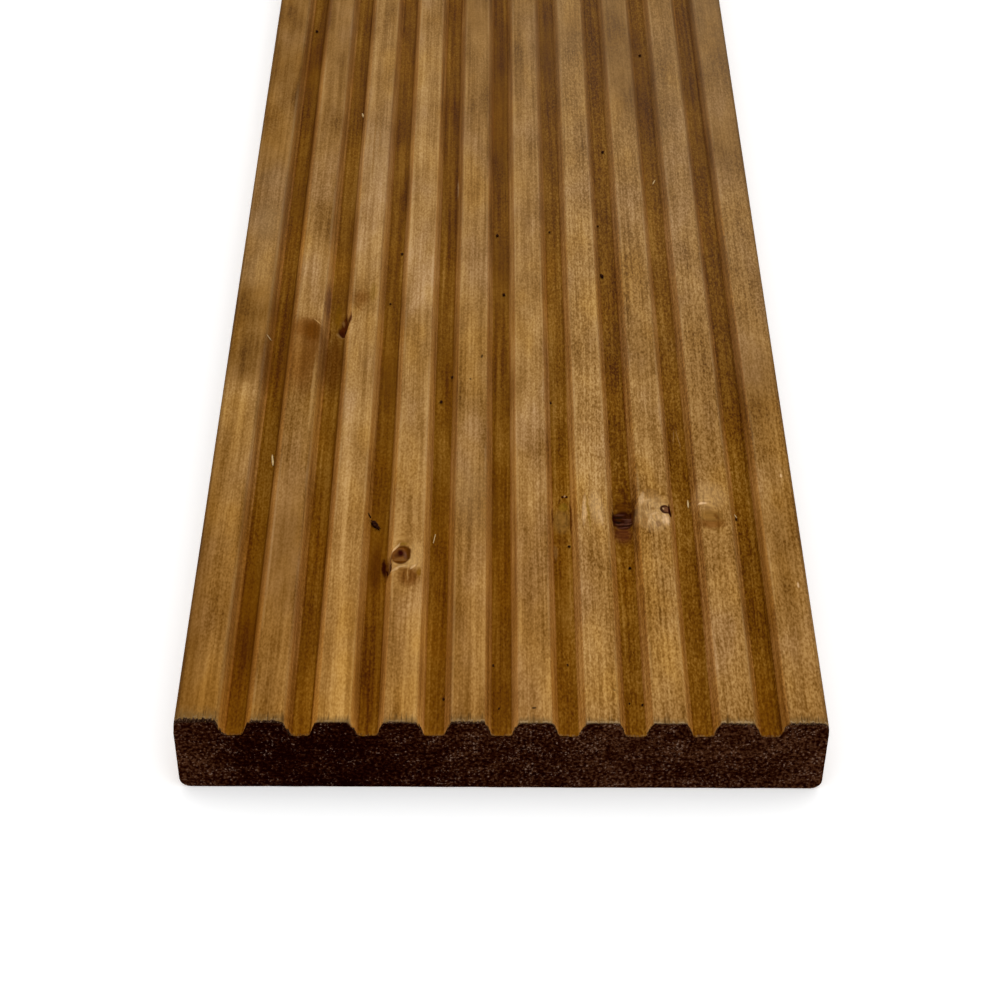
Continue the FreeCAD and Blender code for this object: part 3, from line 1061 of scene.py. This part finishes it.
class Finish:
    """One material and its shader nodes: most methods add nodes and give back the last one's output."""

    def __init__(self, name, roughness, specular):
        self.material = bpy.data.materials.new(name)
        self.material.use_nodes = True
        self.tree = self.material.node_tree
        self.shader = self.tree.nodes["Principled BSDF"]
        self.shader.inputs["Roughness"].default_value = roughness
        self.shader.inputs["Specular IOR Level"].default_value = specular

    def feed(self, socket, value):
        """Links an output to a socket, or sets a plain value on it; a colour gets its full alpha."""
        if isinstance(value, bpy.types.NodeSocket):
            self.tree.links.new(value, socket)
        elif socket.type == "RGBA":
            socket.default_value = (*value, 1.0)
        else:
            socket.default_value = value

    def node(self, kind, *values, **settings):
        """A node of a kind, with its settings, its sockets fed in order."""
        node = self.tree.nodes.new("ShaderNode" + kind)
        for setting, choice in settings.items():
            setattr(node, setting, choice)
        for socket, value in zip(node.inputs, values):
            self.feed(socket, value)
        return node

    def math(self, operation, *values):
        """One sum on numbers."""
        return self.node("Math", *values, operation=operation).outputs[0]

    def vector(self, operation, *values):
        """One sum on vectors; a length comes out as a number."""
        node = self.node("VectorMath", *values, operation=operation)
        return node.outputs["Value" if operation == "LENGTH" else "Vector"]

    def millimetres(self):
        """The piece's own coordinates, in millimetres."""
        return self.vector("MULTIPLY", self.node("TexCoord").outputs["Object"], (1 / mm,) * 3)

    def stored(self, name, output="Fac"):
        """A value stored on the piece's points."""
        return self.node("Attribute", attribute_name=name).outputs[output]

    def split(self, vector):
        """A vector's three numbers."""
        return tuple(self.node("SeparateXYZ", vector).outputs)

    def noise(self, place, across, along, upright, detail=2.0, output="Fac"):
        """Cloudy noise with so many features a millimetre across, along and upright."""
        node = self.node("TexNoise", self.vector("MULTIPLY", place, (across, along, upright)))
        node.inputs["Scale"].default_value = 1.0
        node.inputs["Detail"].default_value = detail
        return node.outputs[output]

    def fade(self, value, none, full, lowest=0.0, highest=1.0, kind="SMOOTHSTEP"):
        """Eased or even step: the lowest share at one value, the highest at the other."""
        return self.node("MapRange", value, none, full, lowest, highest, interpolation_type=kind).outputs[0]

    def times(self, *values):
        """Product of several shares."""
        product = values[0]
        for value in values[1:]:
            product = self.math("MULTIPLY", product, value)
        return product

    def apart(self, value, level):
        """Distance of a value from a level, on either side."""
        return self.math("ABSOLUTE", self.math("SUBTRACT", value, level))

    def add_up(self, *terms):
        """Sum of weighted values, each given as (output, weight, level that counts as nothing)."""
        total = 0.0
        for output, weight, level in terms:
            change = self.math("SUBTRACT", output, level)
            total = self.math("MULTIPLY_ADD", change, weight, total)
        return total

    def oval_reach(self, place, middle, half, lean=0.0):
        """Distance from a leaning oval's middle, counted so that its edge is at 1."""
        turn = (0.0, 0.0, math.radians(lean))
        mapping = self.node("Mapping", place, middle, turn, half, vector_type="TEXTURE")
        return self.vector("LENGTH", mapping.outputs[0])

    def ramp(self, value, stops):
        """Colour along a scale of (place, colour) stops."""
        node = self.node("ValToRGB", value)
        elements = node.color_ramp.elements
        while len(elements) < len(stops):
            elements.new(0.5)
        for element, (place, color) in zip(elements, stops):
            element.position = place
            element.color = (*color, 1.0)
        return node.outputs[0]

    def mix(self, share, first, second, way="MIX"):
        """Blend of two colours."""
        node = self.node("Mix", share, data_type="RGBA", blend_type=way)
        self.feed(node.inputs[6], first)
        self.feed(node.inputs[7], second)
        return node.outputs[2]

    def tint(self, share, color, factors):
        """A colour with its red, green and blue multiplied, as far as the share says."""
        return self.mix(share, color, factors, "MULTIPLY")

    def paint(self, color):
        """Gives the surface its colour."""
        self.feed(self.shader.inputs["Base Color"], color)

    def bump(self, height, strength):
        """Relief from a height in millimetres."""
        node = self.node("Bump")
        node.inputs["Strength"].default_value = strength
        node.inputs["Distance"].default_value = mm
        self.feed(node.inputs["Height"], height)
        self.feed(self.shader.inputs["Normal"], node.outputs[0])


class TreatedWood(Finish):
    """Planed long faces: streaky brown treatment over fine grain, with marks and knots and worn ends."""

    def __init__(self, name, marks=(), knots=()):
        super().__init__(name, 0.7, 0.01)
        self.place = self.millimetres()
        self.across, self.along = self.split(self.place)[:2]
        self.from_near = self.math("SUBTRACT", self.along, near_end_y / mm)
        self.beside_groove = self.stored("beside_groove")
        # The stored tone: stain with the walls' painted light and shade.
        self.stain_and_wall_light = self.stored("stain_and_wall_light")
        clouds = self.noise(self.place, 0.10, 0.035, 0.10, output="Color")
        self.cloud, self.hue, self.haze = self.split(clouds)
        self.lay_grain()
        lines = self.planer_lines()
        tone = self.add_up(
            (self.stain_and_wall_light, 1.0, -0.5),
            (self.cloud, 0.95, 0.5),
            (self.texture, 1.0, 0.0),
            (lines, 1.0, 0.0),
        )
        color = self.aged(self.treated(tone))
        if marks:
            color = self.marked(color, marks)
        if knots:
            color = self.knotted(color, knots)
        self.paint(self.worn_at_ends(color))
        self.feed(self.shader.inputs["Roughness"], self.fade(self.cloud, 0.3, 0.7, 0.62, 0.8))
        relief = self.add_up((self.streak, 0.10, 0.5), (self.fibre, 0.10, 0.5), (self.grit, 0.10, 0.0))
        self.bump(relief, 0.7)

    def lay_grain(self):
        """Texture along the grain: broad streaks to the left, thin fibres, and specks and pits where the
        right-hand side is rougher. It is fainter where the stored tone, stain and the walls' painted shade,
        is dark."""
        grain = self.stored("grain", "Vector")
        broad = self.noise(grain, 0.28, 0.008, 0.08, detail=1.0)
        self.streak = self.noise(grain, 0.60, 0.020, 0.4, detail=1.0)
        self.fibre = self.noise(grain, 1.7, 0.024, 1.2, detail=1.5)
        speck = self.noise(grain, 2.6, 1.3, 1.5, detail=0.0)
        pit = self.noise(grain, 2.4, 0.80, 1.5, detail=1.0)
        rough = self.times(self.to_right(0.25, 1.0), self.fade(self.from_near, 20.0, 100.0, 0.75, 1.05))
        self.grit = self.times(self.fade(pit, 0.30, 0.70, -0.5, 0.5), rough)
        wide = self.add_up((broad, 0.50, 0.5), (self.streak, 0.58, 0.5))
        fine = self.add_up((self.fibre, 0.62, 0.5), (speck, 0.48, 0.5))
        wide = self.times(wide, self.to_right(1.0, 0.45))
        fine = self.times(fine, self.to_right(1.0, 1.30))
        texture = self.add_up((wide, 1.0, 0.0), (fine, 1.0, 0.0), (self.grit, 0.30, 0.0))
        texture = self.fade(texture, -0.45, 0.45, -0.36, 0.36)
        self.texture = self.times(texture, self.fade(self.stain_and_wall_light, -0.22, -0.02, 0.5, 1.0))

    def to_right(self, on_left, on_right):
        """A share that changes from the board's left half to its right-hand side."""
        return self.fade(self.across, 0.0, 26.0, on_left, on_right)

    def planer_lines(self):
        """Tone of the lines along the grooves: one scale of tones from wall to wall, its place wandering a
        little, fainter along the length and between streaks."""
        half_pitch = groove_pitch / mm / 2
        side = self.math("SIGN", self.math("WRAP", self.across, half_pitch, -half_pitch))
        wander = self.math("SUBTRACT", self.haze, 0.5)
        from_middle = self.math("MULTIPLY_ADD", wander, 0.5, self.times(side, self.beside_groove))
        first, last = groove_lines[0][0], groove_lines[-1][0]
        stops = [((place - first) / (last - first), (0.5 + tone,) * 3) for place, tone in groove_lines]
        tones = self.ramp(self.fade(from_middle, first, last, kind="LINEAR"), stops)
        along_board = self.fade(self.from_near, 220.0, 60.0, 0.7, 1.0)
        on_streak = self.fade(self.streak, 0.35, 0.6, 0.6, 1.2)
        return self.times(self.math("SUBTRACT", tones, 0.5), along_board, on_streak)

    def treated(self, tone):
        """Colour of the treatment by its tone: ridges, then walls, a painted sheen on the shoulders and a
        painted highlight along the crests, groove floors and feet.
        """
        color = self.ramp(tone, ridge_colors)
        on_wall = self.fade(self.beside_groove, 3.95, 3.4)
        color = self.tint(on_wall, color, wall_factors)
        wall_line = self.noise(self.place, 2.6, 0.010, 1.2, detail=1.0)
        color = self.tint(self.times(on_wall, self.fade(wall_line, 0.52, 0.66)), color, foot_factors)
        # Painted sheen: a faint pink veil on the shoulders, where light glances off them.
        on_shoulder = self.fade(self.apart(self.beside_groove, shoulder_place), 0.6, 0.2, 0.0, 0.10)
        color = self.mix(on_shoulder, color, painted_shoulder_sheen)
        # Painted highlight: a pale line along the crests, in stretches.
        on_crest = self.fade(self.apart(self.beside_groove, crest_place), 0.40, 0.10)
        color = self.mix(self.times(on_crest, self.fade(self.haze, 0.46, 0.60), 0.28), color, painted_crest_highlight)
        on_floor = self.fade(self.beside_groove, 2.45, 2.1)
        color = self.mix(on_floor, color, self.ramp(tone, groove_colors))
        on_foot = self.fade(self.apart(self.beside_groove, foot_place), 0.4, 0.1)
        return self.tint(self.times(on_foot, self.fade(self.streak, 0.45, 0.6)), color, foot_factors)

    def aged(self, color):
        """Slow changes of hue, warmth at the near end, greying along the length that is partly a painted
        sheen, and dark long edges.
        """
        color = self.tint(self.fade(self.hue, 0.50, 0.30), color, golden_factors)
        color = self.tint(self.fade(self.hue, 0.50, 0.70), color, pinkish_factors)
        warmth = self.fade(self.from_near, 120.0, 20.0)
        warmth = self.times(warmth, self.fade(self.across, 30.0, 0.0, 0.4, 1.0))
        color = self.tint(warmth, color, warm_factors)
        # Painted sheen and greying: the pale veil of glancing light along the length, with the wood's grey
        # patches.
        color = self.mix(self.times(self.stored("weathering_and_sheen"), 0.45), color, greyed_wood_and_sheen)
        return self.tint(self.fade(self.math("ABSOLUTE", self.across), 71.0, 72.3), color, edge_factors)

    def marked(self, color, marks):
        """Marks laid over the colour in order, with wandering edges and the wood's own texture."""
        wander = self.noise(self.place, 0.6, 0.6, 0.6, detail=1.0, output="Color")
        wander = self.vector("MULTIPLY_ADD", wander, (0.6, 0.6, 0.6), (-0.3, -0.3, -0.3))
        loose = self.vector("ADD", self.place, wander)
        covered = 0.0
        for x, d, half_x, half_d, lean, softness, tint, strength in marks:
            middle = (x, near_end_y / mm + d, mark_level)
            reach = self.oval_reach(loose, middle, (half_x, half_d, mark_reach), lean)
            share = self.fade(reach, 1.0 + softness, 1.0 - softness, 0.0, strength)
            color = self.mix(share, color, tint)
            covered = self.math("MAXIMUM", share, covered)
        return self.mix(covered, color, self.fade(self.texture, -0.3, 0.3, 0.80, 1.20), "MULTIPLY")

    def knotted(self, color, knots):
        """Knots right through the board: rings of colour by the distance from the nearest knot's middle."""
        nearest = 4.0
        for x, d, radius in knots:
            middle = (x, near_end_y / mm + d, board_thickness / mm / 2)
            reach = self.oval_reach(self.place, middle, (radius, 1.3 * radius, 20 * radius))
            nearest = self.math("MINIMUM", reach, nearest)
        ring = self.ramp(self.math("MULTIPLY", nearest, 0.5), knot_colors)
        return self.mix(self.fade(nearest, 1.7, 1.0), color, ring)

    def worn_at_ends(self, color):
        """The last millimetres at the ends: grey, with dark hairs and a pale rim, then the dark torn edge.
        The torn edge goes as far as the board's stored reach, made ragged, and the grey goes further.
        On the groove walls, deepest on the left ones, the dark edge is partly painted shade."""
        from_end = self.math("SUBTRACT", board_length / mm / 2, self.math("ABSOLUTE", self.along))
        on_ridge = self.fade(self.beside_groove, 3.2, 4.2)
        reach = self.stored("torn_and_shaded_reach")
        tooth = self.noise(self.place, 1.5, 0.7, 0.8, detail=3.0)
        crumb = self.noise(self.place, 2.2, 1.5, 1.8, detail=2.0)
        uneven = self.math("ADD", self.add_up((tooth, 2.8, 0.5), (crumb, 2.4, 0.5)), 1.0)
        past_edge = self.math("SUBTRACT", from_end, self.times(reach, uneven))
        grey_length = self.math("MULTIPLY_ADD", reach, 3.4, 1.0)
        clouded = self.math("MULTIPLY_ADD", self.cloud, -1.6, past_edge)
        grey_place = self.math("DIVIDE", clouded, grey_length)
        dull = self.times(self.fade(grey_place, 0.8, -0.6, 0.0, 0.85), on_ridge)
        color = self.mix(dull, color, end_grey)
        hair = self.noise(self.place, 2.6, 0.16, 0.3, detail=1.0)
        hairs = self.times(self.fade(hair, 0.56, 0.66), self.fade(past_edge, 4.0, 1.0), on_ridge)
        color = self.mix(self.times(hairs, self.fade(reach, 0.0, 0.5, 0.3, 0.8)), color, end_hair)
        pale_side = self.fade(self.across, -14.0, 4.0, 0.30, 0.75)
        pale_side = self.times(pale_side, self.fade(on_ridge, 0.0, 1.0, 0.25, 1.0))
        rim = self.times(self.fade(past_edge, 0.8, 0.4), self.fade(tooth, 0.42, 0.55), pale_side)
        color = self.mix(rim, color, end_rim)
        # The dark torn edge, on the groove walls partly painted shade.
        return self.mix(self.fade(past_edge, 0.40, -0.15), color, self.ramp(crumb, soaked_colors))


def sawn_end():
    """Sawn end grain: nearly black where the treatment soaked in, gritty, with pale torn fibre ends."""
    finish = Finish("sawn_end", 0.9, 0.0)
    place = finish.millimetres()
    across = finish.split(place)[0]
    soak = finish.noise(place, 0.05, 1.0, 0.10, detail=3.0)
    patch = finish.noise(place, 0.22, 1.0, 0.30, detail=2.0)
    grit = finish.noise(place, 1.2, 1.0, 1.2, detail=4.0)
    torn = finish.noise(place, 1.9, 1.0, 2.1, detail=3.0)
    saw_line = finish.noise(place, 0.05, 1.0, 1.5, detail=1.0)
    from_dark = finish.fade(finish.apart(across, -40.0), 6.0, 34.0)
    worn_corner = finish.fade(across, -57.0, -70.0)
    wetness = finish.add_up(
        (soak, 0.7, 0.03), (from_dark, 0.24, 0.45), (worn_corner, 0.20, 0.0), (across, 0.0014, 0.0),
        (patch, 0.6, 0.5), (grit, 2.6, 0.5), (torn, 1.0, 0.5), (saw_line, 0.35, 0.5),
    )
    rise = finish.add_up((torn, 1.0, 0.0), (patch, 0.40, 0.5), (grit, 0.40, 0.5), (from_dark, 0.04, 0.5))
    finish.paint(finish.mix(finish.fade(rise, 0.61, 0.85), finish.ramp(wetness, end_colors), torn_grain))
    finish.bump(finish.add_up((grit, 0.30, 0.5), (torn, 0.20, 0.5)), 1.0)
    return finish


def fibre_ends():
    """Torn fibres: some soaked nearly black, some pale."""
    finish = Finish("fibre_ends", 0.9, 0.02)
    finish.paint(finish.ramp(finish.stored("shade"), fibre_colors))
    return finish


def bark():
    """Black bark, dull and reddish where it is broken."""
    finish = Finish("bark", 0.8, 0.02)
    lump = finish.noise(finish.millimetres(), 1.6, 1.6, 1.6)
    finish.paint(finish.ramp(lump, bark_colors))
    finish.bump(lump, 0.5)
    return finish


def bare_splinter():
    """Splinters of wood that the treatment did not reach."""
    finish = Finish("bare_splinter", 0.75, 0.1)
    finish.paint(finish.ramp(finish.noise(finish.millimetres(), 6.0, 0.5, 6.0), splinter_colors))
    return finish


def pale_floor():
    """Matt near-white floor, lit a little from below like a light table."""
    finish = Finish("pale_floor", 0.9, 0.1)
    finish.paint((0.95, 0.95, 0.95))
    finish.feed(finish.shader.inputs["Emission Color"], (1.0, 1.0, 1.0))
    finish.shader.inputs["Emission Strength"].default_value = 0.2
    return finish


def studio_floor():
    """Plain pale floor under the board, wide enough for every view."""
    half = 8.0
    clearance = 0.2 * mm
    corners = np.array([(-half, -half), (half, -half), (half, half), (-half, half)])
    corners = np.column_stack([corners, np.full(4, -clearance)])
    floor = make_mesh("studio_floor", corners, [np.array([[0, 1, 2, 3]])])
    floor.data.materials.append(pale_floor().material)


def studio_light():
    """Even white surroundings and one wide soft light from above, a little to the right."""
    scene = bpy.context.scene
    world = bpy.data.worlds.new("studio")
    scene.world = world
    world.use_nodes = True
    background = world.node_tree.nodes["Background"]
    background.inputs["Color"].default_value = (1.0, 1.0, 1.0, 1.0)
    background.inputs["Strength"].default_value = 1.0
    scene.view_settings.view_transform = "Standard"
    scene.view_settings.look = "None"

    soft_box = bpy.data.lights.new("soft_box", "AREA")
    soft_box.shape = "DISK"
    soft_box.size = 2.5
    soft_box.energy = 12.0
    holder = bpy.data.objects.new("soft_box", soft_box)
    holder.location = (0.4, -0.7, 2.6)
    holder.rotation_euler = (0.0, math.radians(8.7), 0.0)
    scene.collection.objects.link(holder)


def photo_camera():
    """Camera at the fitted place: looking down the board from beyond its near end."""
    camera = bpy.data.cameras.new("photo_camera")
    camera.sensor_width = sensor_width_mm
    camera.lens = focal_in_pixels / picture_pixels * sensor_width_mm
    camera.clip_start = 0.01
    camera.clip_end = 100.0
    sight = np.array([
        math.sin(camera_yaw) * math.cos(camera_pitch),
        math.cos(camera_yaw) * math.cos(camera_pitch),
        -math.sin(camera_pitch),
    ])
    level_right = np.array([math.cos(camera_yaw), -math.sin(camera_yaw), 0.0])
    level_down = np.cross(sight, level_right)
    right = math.cos(camera_roll) * level_right + math.sin(camera_roll) * level_down
    down = -math.sin(camera_roll) * level_right + math.cos(camera_roll) * level_down
    place = np.eye(4)
    place[:3, 0] = right
    place[:3, 1] = -down
    place[:3, 2] = -sight
    place[:3, 3] = camera_x, camera_y, camera_z
    holder = bpy.data.objects.new("photo_camera", camera)
    holder.matrix_world = Matrix(place.tolist())
    bpy.context.scene.collection.objects.link(holder)
    bpy.context.scene.camera = holder


def finish_piece(piece, *finishes):
    """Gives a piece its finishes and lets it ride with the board."""
    for finish in finishes:
        piece.data.materials.append(finish.material)
    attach(piece, "root")


# The finishes stand in the order of their numbers on the board's faces: plain, end, marked, far.
board = decking_board()
marked_finishes = [TreatedWood(f"marked_wood_{number}", group) for number, group in enumerate(mark_groups)]
far_finish = TreatedWood("far_wood", knots=further_knots)
finish_piece(board, TreatedWood("treated_wood"), sawn_end(), *marked_finishes, far_finish)
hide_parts("decking_board")
finish_piece(lying_bits("splinters", splinters, 0.6, 0.3, 51), bare_splinter())
finish_piece(lying_bits("bark_bits", bark_bits, 0.5, 0.7, 52), bark())
finish_piece(torn_fibres(), fibre_ends())
studio_floor()
studio_light()
photo_camera()
